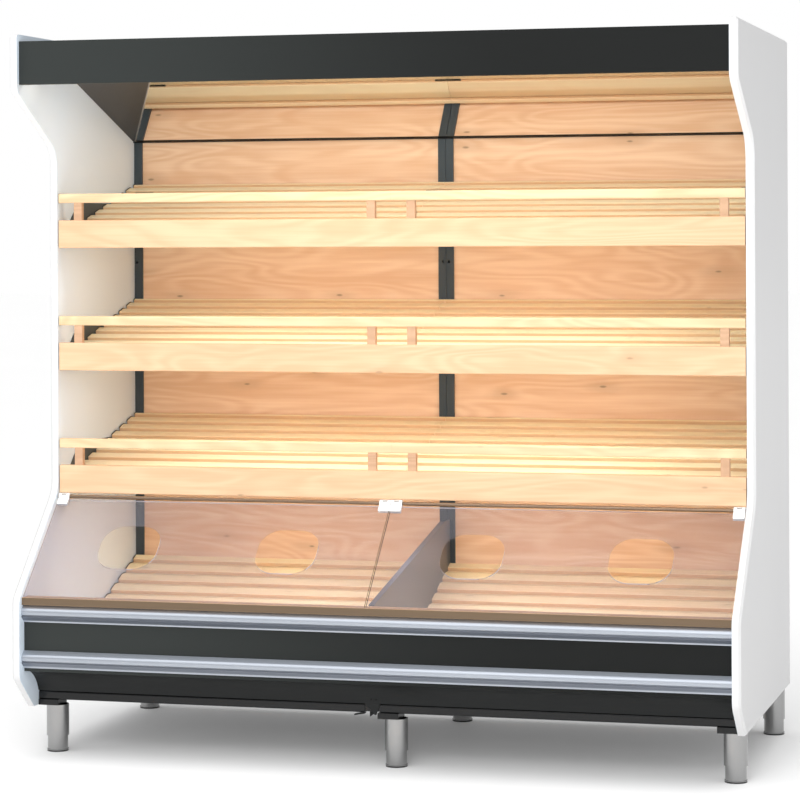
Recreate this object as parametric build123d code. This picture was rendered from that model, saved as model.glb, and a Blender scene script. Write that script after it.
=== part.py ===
from build123d import *
import math
import os

# Bakery shelving unit: two moulded side panels, a slatted bin behind two tilting panes,
# three slatted shelves, a mirror canopy and six screw feet.
# Millimetres. X runs along the front, Y from the front to the back, Z up from the floor.
# The origin is on the floor, under the middle of the unit.

# Overall sizes
module_width = 937.5
panel_thickness = 22.0
unit_depth = 925.0
unit_height = 1902.0
inner_half = module_width
front_y = -unit_depth / 2
back_y = unit_depth / 2

# Side panel outline
head_height = 150.0
neck_setback = 273.0
neck_top_drop = 300.0
neck_top_z = unit_height - neck_top_drop
neck_bottom_z = 685.0
shoulder_z = 420.0
toe_top_z = 211.0
panel_bottom_z = 125.0
toe_length = 98.0
neck_radius = 75.0
shoulder_radius = 35.0
corner_radius = 10.0
panel_chamfer = 6.0

# Base frame
base_z = 139.5
beam_height = 23.5
beam_depth = 40.0
beam_wall = 3.0
beam_radius = 5.0
beam_end_gap = 2.0
joint_left_x = -34.0
joint_right_x = 8.0
plate_tip_z = 134.0
plate_tip_width = 4.0
plate_tip_shift = 8.0
tab_depth = 15.0
hook_depth = 8.0
coupler_reach = 45.0
crossbar_width = 25.0
crossbar_inset = 40.0
sheet = 2.0
tray_gap = 2.0
base_top_z = base_z + beam_height

# Front of the base
face_setback = 15.0
kick_depth = 18.0
bumper_bulge = 3.0
bumper_height = 46.0
upper_bumper_z = 358.0
lower_bumper_z = 237.0
kick_bottom_z = 228.0
cove_radius = 102.0
ledge_height = 19.5
ledge_depth = 45.0
ledge_round = 1.5
face_y = front_y + face_setback
kick_y = face_y + kick_depth
kick_back_y = kick_y + sheet
ledge_z = upper_bumper_z + bumper_height
ledge_top_z = ledge_z + ledge_height
cove_centre_z = kick_bottom_z + sheet - cove_radius
cove_end_angle = math.degrees(math.asin((base_top_z - cove_centre_z) / cove_radius))
beam_front_y = kick_back_y + cove_radius * math.cos(math.radians(cove_end_angle)) - sheet
beam_back_y = beam_front_y + beam_depth

# Legs and screw feet
left_leg_inset = 43.5
right_leg_inset = 14.5
left_leg_x = left_leg_inset - inner_half
right_leg_x = inner_half - right_leg_inset
middle_leg_x = 43.5
front_leg_setback = 156.5
rear_leg_setback = 66.5
front_leg_y = front_y + front_leg_setback
rear_leg_y = back_y - rear_leg_setback
leg_plate_clearance = 1.0
leg_plate_x = left_leg_inset + right_leg_inset - 2 * leg_plate_clearance
leg_plate_shift = (left_leg_inset - right_leg_inset) / 2
leg_plate_y = 60.0
leg_plate_thickness = 15.0
foot_radius = 27.0
foot_clearance = 0.05
leg_wall = 2.95
foot_exposed = 36.3
foot_engaged = 56.0
pad_height = 6.0
pad_rim = 1.5
foot_wall = 3.0
leg_top_z = base_z - leg_plate_thickness
leg_bottom_z = pad_height + foot_exposed

# Uprights, back boards and rear cover
upright_depth = 40.0
upright_wall = 2.0
side_upright_width = 24.5
middle_upright_width = 21.5
middle_gap = 1.0
rear_gap = 20.0
upright_back_y = back_y - rear_gap
upright_y = upright_back_y - upright_depth
pin_hole_radius = 4.0
pin_hole_drop = 226.6
pin_hole_inset = 8.0
back_board_setback = 7.0
back_board_thickness = 16.0
back_board_bottom_z = 400.0

# Slats, shared by the shelves and the bin
slat_pitch = 64.0
slat_gap = 1.5
slat_front_height = 15.0
slat_crest_height = 15.5
slat_crest_from_front = 34.0
slat_back_height = 5.0
slat_edge_radius = 2.0
slat_crest_radius = 20.0
slat_end_gap = 3.5
seam_gap = 1.0
slat_back_gap = 1.0

# Shelves
shelf_count = 3
shelf_angle = 14.7
shelf_last_share = 0.2
top_shelf_drop = 380.4
lowest_shelf_z = 857.6
top_shelf_z = unit_height - top_shelf_drop
shelf_pitch = (top_shelf_z - lowest_shelf_z) / (shelf_count - 1)
pin_hole_z = top_shelf_z - pin_hole_drop
board_height = 75.0
board_thickness = 22.0
board_drop = 181.6
board_setback = 277.0
board_front_y = front_y + board_setback
board_back_y = board_front_y + board_thickness
shelf_front_gap = 6.0
rail_height = 25.0
rail_above_board = 47.0
post_width = 22.5
post_thickness = 16.0
post_inset = 54.0
edge_round = 3.0
board_end_gap = 3.0
bracket_thickness = 2.0
bracket_panel_gap = 0.5
bracket_flange = 24.0
bracket_top_drop = 57.0
bracket_nose_depth = 145.5
bracket_nose_y = board_front_y + bracket_nose_depth
bracket_nose_height = 8.0
bracket_root_height = 90.0
middle_bracket_flange = 26.0

# Bin
bin_angle = 20.6
bin_last_share = 0.46
bin_front_z = 183.6
bin_run = upright_y - beam_back_y
bin_back_z = bin_front_z + bin_run * math.tan(math.radians(bin_angle))
bin_front_gap = 70.0
bearer_width = 20.0
bearer_height = 25.0
bearer_clearance = 3.5
divider_x = 7.0
divider_thickness = 3.0
divider_flange = 15.0
divider_front_setback = 74.0
divider_top_setback = 120.0
divider_wall_gap = 1.5
divider_front_y = front_y + divider_front_setback
divider_top_y = back_y - divider_top_setback
divider_back_y = upright_y - divider_wall_gap
divider_front_z = 425.0
divider_top_z = 566.0
divider_foot = 20.0
bin_board_width = 14.0
bin_board_clearance = 2.0

# Tilting panes
hinge_lead = 2.5
hinge_y = board_front_y - hinge_lead
hinge_z = 666.0
hinge_bar_radius = 5.0
hinge_clearance = 0.05
clip_boss_radius = 9.5
clip_width = 30.0
clip_length = 30.0
clip_cheek = 2.0
clip_window_width = 14.0
clip_window_height = 5.0
clip_seam_gap = 1.2
pane_thickness = 5.0
pane_top = 12.0
pane_lip = 3.5
pane_side_gap = 4.0
pane_seam_gap = 3.0
pane_seat_gap = 0.3
hand_hole_width = 165.0
hand_hole_height = 150.0
hand_hole_radius = 60.0
hand_hole_inset = 247.0
hand_hole_along = 174.0
ledge_edge_y = face_y + sheet

# Canopy
fascia_drop = 132.0
fascia_bottom_z = unit_height - fascia_drop
fascia_height = 114.0
fascia_flange = 20.0
mirror_back_setback = 66.0
mirror_back_drop = 255.7
mirror_front_setback = 192.5
mirror_front_drop = 32.0
mirror_back_y = back_y - mirror_back_setback
mirror_back_z = unit_height - mirror_back_drop
mirror_front_y = front_y + mirror_front_setback
mirror_rise = mirror_back_drop - mirror_front_drop
mirror_angle = math.degrees(math.atan2(mirror_rise, mirror_back_y - mirror_front_y))
mirror_thickness = 4.0
mirror_rail_depth = 40.0
trim_height = 3.0
trim_drop = 0.5
trim_overlap = 1.5
lamp_end_gap = 37.5
lamp_length = 2 * (inner_half - lamp_end_gap)
lamp_width = 60.0
lamp_height = 35.0
lamp_setback = 25.0
diffuser_height = 12.0
diffuser_round = 10.0
roof_z = fascia_bottom_z + fascia_height - 2 * sheet


def block(x_low, x_high, y_low, y_high, z_low, z_high):
    """A box between two opposite corners."""
    size = (x_high - x_low, y_high - y_low, z_high - z_low)
    middle = ((x_low + x_high) / 2, (y_low + y_high) / 2, (z_low + z_high) / 2)
    return Pos(*middle) * Box(*size)


def drawn_out(points, radii, x_low, x_high):
    """A side-view outline of (y, z) points with rounded corners, drawn out along X."""
    outline = make_face(FilletPolyline(*points, radius=radii, close=True))
    placed = Plane.YZ.offset(x_low) * outline
    return extrude(placed, amount=x_high - x_low, dir=(1, 0, 0))


def rounded_bar(x_low, x_high, y_low, y_high, z_low, z_high, radius):
    """A straight bar along X with its four long edges rounded."""
    corners = [(y_low, z_low), (y_high, z_low), (y_high, z_high), (y_low, z_high)]
    return drawn_out(corners, radius, x_low, x_high)


def on_slope(start, angle, along, up):
    """The (y, z) point that lies along and up from start on a plane rising at angle."""
    turn = math.radians(angle)
    y = start[0] + along * math.cos(turn) - up * math.sin(turn)
    z = start[1] + along * math.sin(turn) + up * math.cos(turn)
    return (y, z)


def slope_height(start, angle, y):
    """The height of the sloping line through start at a given y."""
    return start[1] + (y - start[0]) * math.tan(math.radians(angle))


def module_spans(end_gap, seam, seam_x=0.0):
    """The left and right module's extent in X, held back from the panels and the seam."""
    left = (-inner_half + end_gap, seam_x - seam / 2)
    right = (seam_x + seam / 2, inner_half - end_gap)
    return {"left": left, "right": right}


def save(name, pieces):
    """Write one node, whose pieces stay separate solids."""
    solids = []
    for piece in pieces:
        solids.extend(piece.solids())
    export_step(Compound(children=solids), f"parts/{name}.step")


# Side panels

def side_panel(side):
    """One moulded side panel, bevelled round the edge of its outer face."""
    neck_y = front_y + neck_setback
    outline = [
        (front_y, unit_height),
        (front_y, unit_height - head_height),
        (neck_y, neck_top_z),
        (neck_y, neck_bottom_z),
        (front_y, shoulder_z),
        (front_y, toe_top_z),
        (front_y + toe_length, panel_bottom_z),
        (back_y, panel_bottom_z),
        (back_y, unit_height),
    ]
    radii = [corner_radius, shoulder_radius, neck_radius, neck_radius, shoulder_radius]
    radii += [shoulder_radius, corner_radius, corner_radius, corner_radius]
    panel = drawn_out(outline, radii, inner_half, inner_half + panel_thickness)
    outer_face = panel.faces().sort_by(Axis.X)[-1]
    panel = chamfer(outer_face.edges(), panel_chamfer)
    return panel if side > 0 else mirror(panel, about=Plane.YZ)


# Base frame, legs and feet

def beam(x_low, x_high, y_low):
    """A rounded rectangular tube along X, standing on the leg plates."""
    y_high = y_low + beam_depth
    outer = rounded_bar(x_low, x_high, y_low, y_high, base_z, base_top_z, beam_radius)
    inner = block(x_low, x_high, y_low + beam_wall, y_high - beam_wall,
                  base_z + beam_wall, base_top_z - beam_wall)
    return outer - inner


def beam_coupler():
    """The bar that joins the two front beams from the inside."""
    return block(joint_left_x - coupler_reach, joint_right_x + coupler_reach,
                 beam_front_y + beam_wall, beam_back_y - beam_wall,
                 base_z + beam_wall, base_top_z - beam_wall)


def upright_wedge(points, y_low, y_high):
    """A front-view outline of (x, z) points, drawn out from front to back."""
    face = make_face(Polyline(*[(x, y_low, z) for x, z in points], close=True))
    return extrude(face, amount=y_high - y_low, dir=(0, 1, 0))


def joint_plate():
    """The tapered plate over the joint of the front beams, with a sloping tab and a hook."""
    tab_length = 28.0
    tab_fall = 5.0
    tab_seat = 4.0
    tab_thickness = 3.0
    hook_setback = 16.0
    hook_length = 10.0
    hook_rise = 3.0
    hook_fall = 11.0
    hook_nose = 4.0
    tip = (joint_left_x + joint_right_x) / 2 + plate_tip_shift
    plate_points = [
        (joint_left_x, base_top_z),
        (joint_right_x, base_top_z),
        (tip + plate_tip_width / 2, plate_tip_z),
        (tip - plate_tip_width / 2, plate_tip_z),
    ]
    tab_points = [
        (joint_left_x - tab_length, base_z - tab_fall - tab_thickness),
        (joint_left_x - tab_length, base_z - tab_fall),
        (joint_left_x - tab_seat, base_z),
        (joint_left_x, base_z),
        (joint_left_x, base_z - tab_thickness),
    ]
    hook_points = [
        (tip - hook_setback, base_z - hook_fall),
        (tip - hook_setback, base_z + hook_rise),
        (tip - hook_setback + hook_length, base_z - hook_nose),
    ]
    plate_back = beam_front_y + beam_wall
    plate = upright_wedge(plate_points, beam_front_y, plate_back)
    tab = upright_wedge(tab_points, beam_front_y, beam_front_y + tab_depth)
    hook = upright_wedge(hook_points, plate_back, plate_back + hook_depth)
    return [plate, tab, hook]


def crossbar_centres():
    """Where the bars from the front beam to the rear beam lie in X."""
    edge = inner_half - crossbar_inset
    return [-edge, middle_leg_x, edge]


def base_tray():
    """The thin sheet that closes the base frame from below, between the rows of legs."""
    half = leg_plate_y / 2
    return block(-inner_half, inner_half, front_leg_y + half + tray_gap,
                 rear_leg_y - half - tray_gap, base_z - sheet, base_z)


def base_crossbars():
    """Three bars between the front and the rear beam, one over each pair of legs."""
    bars = []
    for centre in crossbar_centres():
        bars.append(block(centre - crossbar_width / 2, centre + crossbar_width / 2,
                          beam_back_y, upright_y, base_z, base_top_z))
    return bars


def leg_places():
    """Name and (x, y) of each of the six legs."""
    columns = {"left": left_leg_x, "middle": middle_leg_x, "right": right_leg_x}
    rows = {"front": front_leg_y, "rear": rear_leg_y}
    return {f"{row}_{column}": (x, y) for row, y in rows.items() for column, x in columns.items()}


def tube(x, y, z_low, z_high, radius, wall):
    """An upright round tube."""
    height = z_high - z_low
    centre = Pos(x, y, (z_low + z_high) / 2)
    return centre * (Cylinder(radius, height) - Cylinder(radius - wall, height))


def leg_plate(x, y):
    """The steel cap that a leg is welded to, set to the left of the leg's middle."""
    x_middle = x - leg_plate_shift
    return block(x_middle - leg_plate_x / 2, x_middle + leg_plate_x / 2,
                 y - leg_plate_y / 2, y + leg_plate_y / 2, leg_top_z, base_z)


def leg_tube(x, y):
    """The fixed outer tube of a leg."""
    outer_radius = foot_radius + foot_clearance + leg_wall
    return tube(x, y, leg_bottom_z, leg_top_z, outer_radius, leg_wall)


def screw_foot(x, y):
    """The inner tube that screws out of a leg, and the pad that it stands on."""
    inner_tube = tube(x, y, pad_height, leg_bottom_z + foot_engaged, foot_radius, foot_wall)
    pad = Pos(x, y, pad_height / 2) * Cylinder(foot_radius + pad_rim, pad_height)
    return [inner_tube, pad]


# Front of the base

def kick_panel():
    """The flat painted sheet behind the two bumpers."""
    return block(-inner_half, inner_half, kick_y, kick_back_y, kick_bottom_z, ledge_z)


def bumper(z_low):
    """One aluminium bumper: a lip, a slope out to a groove, and a bulged upper half."""
    lip_depth = 5.0
    lip_out = 1.5
    lip_height = 4.0
    slope_setback = 1.5
    groove_low = 16.0
    groove_high = 18.5
    groove_depth = 5.0
    bulge_low = 20.5
    shoulder_drop = 12.0
    top_depth = 3.0
    edge_radius = 0.6
    bulge_radius = 2.0
    shoulder_radius = 12.0
    z_high = z_low + bumper_height
    front = face_y - bumper_bulge
    slope_y = front + slope_setback
    groove_y = slope_y + groove_depth
    points = [
        (kick_y, z_low),
        (kick_y - lip_depth, z_low),
        (kick_y - lip_depth - lip_out, z_low + lip_height),
        (kick_y - lip_depth - 2 * lip_out, z_low + lip_height + 1),
        (slope_y, z_low + groove_low),
        (groove_y, z_low + groove_low),
        (groove_y, z_low + groove_high),
        (front, z_low + bulge_low),
        (front, z_high - shoulder_drop),
        (kick_y - top_depth, z_high),
        (kick_y, z_high),
    ]
    radii = [0.0] + [edge_radius] * 6 + [bulge_radius, shoulder_radius, edge_radius, 0.0]
    return drawn_out(points, radii, -inner_half, inner_half)


def cove_panel(x_low, x_high):
    """The hollow-curved black sheet from the kick panel down to the front beam."""
    inner_radius = cove_radius - sheet
    centre = (kick_back_y, cove_centre_z)
    end_up = base_top_z - cove_centre_z
    outer_end = (centre[0] + math.sqrt(cove_radius ** 2 - end_up ** 2), base_top_z)
    inner_end = (centre[0] + math.sqrt(inner_radius ** 2 - end_up ** 2), base_top_z)
    outer_top = (centre[0], centre[1] + cove_radius)
    inner_top = (centre[0], centre[1] + inner_radius)
    middle = math.radians((90 + cove_end_angle) / 2)
    outer_middle = (centre[0] + cove_radius * math.cos(middle),
                    centre[1] + cove_radius * math.sin(middle))
    inner_middle = (centre[0] + inner_radius * math.cos(middle),
                    centre[1] + inner_radius * math.sin(middle))
    edges = [
        ThreePointArc(outer_top, outer_middle, outer_end),
        Line(outer_end, inner_end),
        ThreePointArc(inner_end, inner_middle, inner_top),
        Line(inner_top, outer_top),
    ]
    section = Plane.YZ.offset(x_low) * make_face(edges)
    return extrude(section, amount=x_high - x_low, dir=(1, 0, 0))


def front_ledge():
    """The wooden strip on top of the base, which the panes come down to."""
    return rounded_bar(-inner_half, inner_half, ledge_edge_y, ledge_edge_y + ledge_depth,
                       ledge_z, ledge_top_z, ledge_round)


# Uprights and back

def upright(x_low, x_high, pin_hole_x):
    """A rectangular steel tube behind the shelves, with a pin hole in its front wall."""
    outer = block(x_low, x_high, upright_y, upright_back_y, base_top_z, roof_z)
    inner = block(x_low + upright_wall, x_high - upright_wall,
                  upright_y + upright_wall, upright_back_y - upright_wall,
                  base_top_z, roof_z)
    hole = Cylinder(pin_hole_radius, 4 * upright_wall, rotation=(90, 0, 0))
    return outer - inner - Pos(pin_hole_x, upright_y, pin_hole_z) * hole


def middle_uprights():
    """The pair of uprights at the seam, one for each module."""
    near = middle_gap / 2
    far = near + middle_upright_width
    hole_x = near + pin_hole_inset
    return [upright(-far, -near, -hole_x), upright(near, far, hole_x)]


def back_board(side):
    """The wooden wall between two uprights."""
    y_low = upright_y + back_board_setback
    near = middle_gap / 2 + middle_upright_width
    far = inner_half - side_upright_width
    x_low, x_high = (near, far) if side > 0 else (-far, -near)
    return block(x_low, x_high, y_low, y_low + back_board_thickness,
                 back_board_bottom_z, roof_z)


def rear_cover():
    """The sheet that closes the unit's back."""
    return block(-inner_half, inner_half, upright_back_y, upright_back_y + sheet,
                 base_z, roof_z)


# Slats

def slat(start, angle, width, x_low, x_high):
    """One slat: a low front edge, a crest and a bevelled rear half, lying on a slope."""
    section = [
        (0, 0),
        (width, 0),
        (width, slat_back_height),
        (slat_crest_from_front, slat_crest_height),
        (0, slat_front_height),
    ]
    points = [on_slope(start, angle, along, up) for along, up in section]
    radii = [0, 0, slat_edge_radius, slat_crest_radius, slat_edge_radius]
    return drawn_out(points, radii, x_low, x_high)


def last_slat(start, angle, width, x_low, x_high):
    """The slat at the back of a deck, ripped down to the width that is left."""
    section = [(0, 0), (width, 0), (width, slat_front_height), (0, slat_front_height)]
    points = [on_slope(start, angle, along, up) for along, up in section]
    return drawn_out(points, [0, 0, 0, slat_edge_radius], x_low, x_high)


def slat_rhythm(front_limit, angle, last_share):
    """A deck's count of whole slats, their pitch, and the last slat's share of a pitch."""
    room = (upright_y - slat_back_gap - front_limit) / math.cos(math.radians(angle))
    count = round((room + slat_gap) / slat_pitch - last_share)
    return count, (room + slat_gap) / (count + last_share), last_share


def slat_row(back_point, angle, rhythm, x_low, x_high):
    """A deck of slats that runs forward and down from its back point."""
    count, pitch, last_share = rhythm
    width = pitch - slat_gap
    last_width = last_share * pitch - slat_gap
    last_start = on_slope(back_point, angle, -last_width, 0)
    slats = [last_slat(last_start, angle, last_width, x_low, x_high)]
    for number in range(count):
        start = on_slope(back_point, angle, -(last_share + number + 1) * pitch + slat_gap, 0)
        slats.append(slat(start, angle, width, x_low, x_high))
    return slats


def deck_back(top_z, angle):
    """The back end of a deck's underside, just clear of the uprights."""
    y = upright_y - slat_back_gap
    return (y, top_z - slat_front_height / math.cos(math.radians(angle)))


# Shelves

def shelf_height(number):
    """The height of a shelf's slats at the back."""
    return top_shelf_z - number * shelf_pitch


def shelf_slat_row(number, span):
    """One module's slats on one shelf."""
    back_point = deck_back(shelf_height(number), shelf_angle)
    rhythm = slat_rhythm(board_back_y + shelf_front_gap, shelf_angle, shelf_last_share)
    return slat_row(back_point, shelf_angle, rhythm, *span)


def front_board(number, span):
    """The wooden board along the front of a shelf."""
    z_low = shelf_height(number) - board_drop
    return rounded_bar(span[0], span[1], board_front_y, board_back_y,
                       z_low, z_low + board_height, edge_round)


def guard_rail(number, span):
    """The wooden rail above the front board."""
    z_low = shelf_height(number) - board_drop + board_height + rail_above_board
    return rounded_bar(span[0], span[1], board_front_y, board_back_y,
                       z_low, z_low + rail_height, edge_round)


def guard_posts(number, span):
    """The two short posts between a front board and its rail."""
    z_low = shelf_height(number) - board_drop + board_height
    y_high = board_back_y - edge_round
    posts = []
    for centre in (span[0] + post_inset, span[1] - post_inset):
        posts.append(block(centre - post_width / 2, centre + post_width / 2,
                           y_high - post_thickness, y_high, z_low, z_low + rail_above_board))
    return posts


def bracket_flange_strip(back_point, x_low, x_high, y_front):
    """The turned-over edge of a bracket, which the slats lie on."""
    top_front = slope_height(back_point, shelf_angle, y_front)
    top_back = slope_height(back_point, shelf_angle, upright_y)
    points = [
        (y_front, top_front),
        (upright_y, top_back),
        (upright_y, top_back - bracket_thickness),
        (y_front, top_front - bracket_thickness),
    ]
    return drawn_out(points, 0, x_low, x_high)


def shelf_brackets(number):
    """The side and middle brackets of one shelf, hung from the uprights."""
    back_point = deck_back(shelf_height(number), shelf_angle)
    y_front = board_back_y
    low_front = slope_height(back_point, shelf_angle, y_front) - bracket_nose_height
    high_front = slope_height(back_point, shelf_angle, y_front)
    back_z = slope_height(back_point, shelf_angle, upright_y)
    side_top = shelf_height(number) - bracket_top_drop
    low_back = back_z - bracket_root_height
    side_outline = [
        (y_front, low_front),
        (y_front, high_front),
        (bracket_nose_y, side_top),
        (upright_y, side_top),
        (upright_y, low_back),
    ]
    middle_outline = [
        (y_front, low_front),
        (y_front, high_front),
        (upright_y, back_z),
        (upright_y, low_back),
    ]
    inner = inner_half - bracket_panel_gap - bracket_thickness
    outer = inner_half - bracket_panel_gap
    plate = drawn_out(side_outline, 0, inner, outer)
    strip = bracket_flange_strip(back_point, inner - bracket_flange, inner, y_front)
    right = plate + strip
    left = mirror(right, about=Plane.YZ)
    half = bracket_thickness
    middle = drawn_out(middle_outline, 0, -half, half)
    middle += bracket_flange_strip(back_point, -middle_bracket_flange, middle_bracket_flange,
                                   y_front)
    return [left, middle, right]


# Bin

def bin_rhythm():
    """The count and the pitch of the bin's slats."""
    return slat_rhythm(beam_back_y + bin_front_gap, bin_angle, bin_last_share)


def bin_back_point():
    """The back end of the underside of the bin's slats."""
    return deck_back(bin_back_z, bin_angle)


def deck_bearers():
    """Four sloping bars under the bin's slats, from the front beam to the uprights."""
    back_point = bin_back_point()
    top_front = slope_height(back_point, bin_angle, beam_back_y)
    top_back = slope_height(back_point, bin_angle, upright_y)
    points = [
        (beam_back_y, top_front),
        (upright_y, top_back),
        (upright_y, top_back - bearer_height),
        (beam_back_y, top_front - bearer_height),
    ]
    side_far = inner_half - bearer_clearance
    near = divider_thickness / 2 + seam_gap / 2
    starts = [-side_far, divider_x - near - bearer_width, divider_x + near,
              side_far - bearer_width]
    return [drawn_out(points, 0, x, x + bearer_width) for x in starts]


def bin_front():
    """Where the front slat of the bin ends: (y, z) of the underside of its front edge."""
    count, pitch, last_share = bin_rhythm()
    length = (count + last_share) * pitch - slat_gap
    return on_slope(bin_back_point(), bin_angle, -length, 0)


def bin_front_board():
    """The sloping wooden front wall inside the bin, from the deck up to the ledge."""
    foot_y = bin_front()[0] - slat_front_height * math.sin(math.radians(bin_angle))
    foot_y -= bin_board_clearance
    foot_z = slope_height(bin_back_point(), bin_angle, foot_y)
    head_y = ledge_edge_y + ledge_depth
    points = [
        (foot_y - bin_board_width, foot_z),
        (foot_y, foot_z),
        (head_y, ledge_z),
        (head_y - bin_board_width, ledge_z),
    ]
    return drawn_out(points, 0, -inner_half, inner_half)


def bin_divider():
    """The folded sheet that parts the bin at the seam, with its top edge turned over."""
    half = divider_thickness / 2
    back_point = bin_back_point()
    low_back = slope_height(back_point, bin_angle, divider_back_y) - divider_foot
    foot_y = bin_front()[0]
    low_front = slope_height(back_point, bin_angle, foot_y) - divider_foot
    board_top_y = ledge_edge_y + ledge_depth
    board_foot_z = low_front + divider_foot
    board_run = board_top_y - foot_y
    share = (divider_front_y - foot_y) / board_run
    knee_z = board_foot_z + share * (ledge_z - board_foot_z) + bin_board_clearance
    outline = [
        (divider_front_y, divider_front_z),
        (divider_top_y, divider_top_z),
        (divider_back_y, divider_top_z),
        (divider_back_y, low_back),
        (foot_y + bin_board_clearance, low_front),
        (foot_y + bin_board_clearance, board_foot_z + bin_board_clearance),
        (divider_front_y, knee_z),
    ]
    right_face = divider_x + half
    plate = drawn_out(outline, 0, divider_x - half, right_face)
    lip = [
        (divider_front_y, divider_front_z),
        (divider_top_y, divider_top_z),
        (divider_top_y, divider_top_z - divider_thickness),
        (divider_front_y, divider_front_z - divider_thickness),
    ]
    return plate + drawn_out(lip, 0, right_face - divider_flange, right_face)


# Tilting panes

def pane_angle_and_length():
    """The pane's fall from the hinge, and how far along it the lower edge lies."""
    target_y = ledge_edge_y + pane_lip
    target_z = ledge_top_z + pane_seat_gap
    run = hinge_y - target_y
    fall = hinge_z - target_z
    half = pane_thickness / 2
    reach = math.hypot(run, fall)
    angle = math.degrees(math.atan2(fall, run)) - math.degrees(math.asin(half / reach))
    length = math.sqrt(reach ** 2 - half ** 2)
    return angle, length


def on_pane(along, up):
    """The (y, z) point that lies along the pane from the hinge, and up out of its plane."""
    angle = math.radians(pane_angle_and_length()[0])
    y = hinge_y - along * math.cos(angle) - up * math.sin(angle)
    z = hinge_z - along * math.sin(angle) + up * math.cos(angle)
    return (y, z)


def pane_strip(along_low, along_high, up_low, up_high, x_low, x_high):
    """A flat slab that lies in the slope of the panes."""
    corners = [(along_low, up_low), (along_high, up_low), (along_high, up_high), (along_low, up_high)]
    return drawn_out([on_pane(*corner) for corner in corners], 0, x_low, x_high)


def hand_hole(x):
    """The tool that cuts one rounded hand hole through a pane."""
    angle = pane_angle_and_length()[0]
    y, z = on_pane(hand_hole_along, 0)
    shape = RectangleRounded(hand_hole_width, hand_hole_height, hand_hole_radius)
    cutter = extrude(shape, amount=4 * pane_thickness, both=True)
    return Pos(x, y, z) * Rot(angle, 0, 0) * cutter


def pane(span):
    """One clear pane with its two hand holes."""
    length = pane_angle_and_length()[1]
    half = pane_thickness / 2
    sheet_pane = pane_strip(pane_top, length, -half, half, *span)
    for x in (span[0] + hand_hole_inset, span[1] - hand_hole_inset):
        sheet_pane -= hand_hole(x)
    return sheet_pane


def clip(x_low):
    """A white clip that holds the top of a pane and turns on the hinge bar."""
    x_high = x_low + clip_width
    middle_x = (x_low + x_high) / 2
    half = pane_thickness / 2
    outer = half + clip_cheek
    boss_place = Pos(middle_x, hinge_y, hinge_z)
    boss = boss_place * Cylinder(clip_boss_radius, clip_width, rotation=(0, 90, 0))
    body = boss + pane_strip(0, clip_length, -outer, outer, x_low, x_high)
    bore_radius = hinge_bar_radius + hinge_clearance
    body -= boss_place * Cylinder(bore_radius, 2 * clip_width, rotation=(0, 90, 0))
    body -= pane_strip(pane_top, 2 * clip_length, -half, half, x_low - clip_width, x_high + clip_width)
    window_half = clip_window_width / 2
    window_low = -clip_window_height / 2
    body -= pane_strip(window_low, -window_low, 0, 2 * clip_boss_radius,
                       middle_x - window_half, middle_x + window_half)
    return body


def hinge_bar():
    """The round bar between the side panels that the clips turn on."""
    bar = Cylinder(hinge_bar_radius, 2 * inner_half, rotation=(0, 90, 0))
    return Pos(0, hinge_y, hinge_z) * bar


def clip_starts(side):
    """Where the two clips of a pane begin in X."""
    inner = clip_seam_gap / 2
    outer = inner_half - pane_side_gap - clip_width
    starts = [inner, outer]
    return starts if side > 0 else [-x - clip_width for x in starts]


# Canopy

def canopy_fascia():
    """The folded front sheet of the canopy."""
    z_high = fascia_bottom_z + fascia_height
    front = block(-inner_half, inner_half, face_y, face_y + sheet, fascia_bottom_z, z_high)
    y_flange = face_y + fascia_flange
    lower = block(-inner_half, inner_half, face_y, y_flange,
                  fascia_bottom_z, fascia_bottom_z + sheet)
    upper = block(-inner_half, inner_half, face_y, y_flange, z_high - sheet, z_high)
    return front + lower + upper


def canopy_top():
    """The sheet on top of the canopy, from the fascia to the rear cover."""
    return block(-inner_half, inner_half, face_y + sheet, upright_back_y + sheet,
                 roof_z, roof_z + sheet)


def mirror_line(y):
    """The height of the mirror's lower face at a given y."""
    return mirror_back_z + (mirror_back_y - y) * math.tan(math.radians(mirror_angle))


def mirror_lift():
    """The mirror's thickness measured straight up."""
    return mirror_thickness / math.cos(math.radians(mirror_angle))


def ceiling_mirror():
    """The sloping mirror under the canopy."""
    lift = mirror_lift()
    points = [
        (mirror_back_y, mirror_back_z),
        (mirror_front_y, mirror_line(mirror_front_y)),
        (mirror_front_y, mirror_line(mirror_front_y) + lift),
        (mirror_back_y, mirror_back_z + lift),
    ]
    return drawn_out(points, 0, -inner_half, inner_half)


def mirror_rail():
    """The wedge-shaped rail that hangs the mirror's front edge from the canopy top."""
    rail_back = mirror_front_y + mirror_rail_depth
    lift = mirror_lift()
    points = [
        (mirror_front_y, mirror_line(mirror_front_y) + lift),
        (rail_back, mirror_line(rail_back) + lift),
        (rail_back, roof_z),
        (mirror_front_y, roof_z),
    ]
    return drawn_out(points, 0, -inner_half, inner_half)


def mirror_trim():
    """The black strip on the uprights that carries the mirror's back edge."""
    z_high = mirror_back_z
    trim_front = mirror_back_y - trim_overlap
    return block(-inner_half, inner_half, trim_front, upright_y, z_high - trim_height - trim_drop,
                 z_high - trim_drop)


def lamp_housing():
    """The lamp body under the canopy top, hidden behind the fascia."""
    y_low = face_y + sheet + lamp_setback
    return block(-lamp_length / 2, lamp_length / 2, y_low, y_low + lamp_width,
                 roof_z - lamp_height, roof_z)


def lamp_diffuser():
    """The milky cover along the underside of the lamp."""
    y_low = face_y + sheet + lamp_setback
    z_high = roof_z - lamp_height
    z_low = z_high - diffuser_height
    points = [(y_low, z_high), (y_low, z_low), (y_low + lamp_width, z_low), (y_low + lamp_width, z_high)]
    radii = [0, diffuser_round, diffuser_round, 0]
    return drawn_out(points, radii, -lamp_length / 2, lamp_length / 2)


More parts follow.
